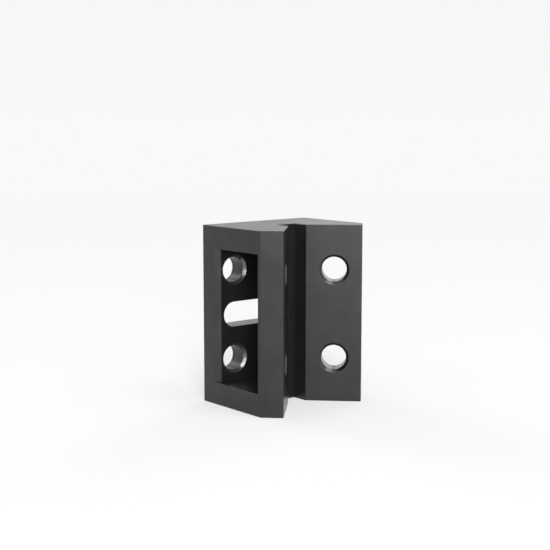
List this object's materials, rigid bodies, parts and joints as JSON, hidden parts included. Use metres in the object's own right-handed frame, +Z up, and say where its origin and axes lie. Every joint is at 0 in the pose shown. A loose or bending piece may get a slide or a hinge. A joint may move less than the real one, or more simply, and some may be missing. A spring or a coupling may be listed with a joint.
{
  "type": "three way corner connector",
  "caption": "Steel block that joins three plates or frame members at a corner: a flat bolting plate and two legs at right angles, with bored faces, open pockets and a relief groove.",
  "frame": {"origin": "centre of the underside's bounding box, at the height of the surface it stands on", "axes": "+X along the plate, +Y out of the plate's bolting face, +Z up"},
  "size_m": [0.15, 0.1174, 0.2],
  "materials": {
    "nitrided_steel": "dark grey satin, read from its look alone as machined and nitrided"
  },
  "bodies": {
    "root": {"connector_body": "nitrided_steel"}
  },
  "joints": []
}
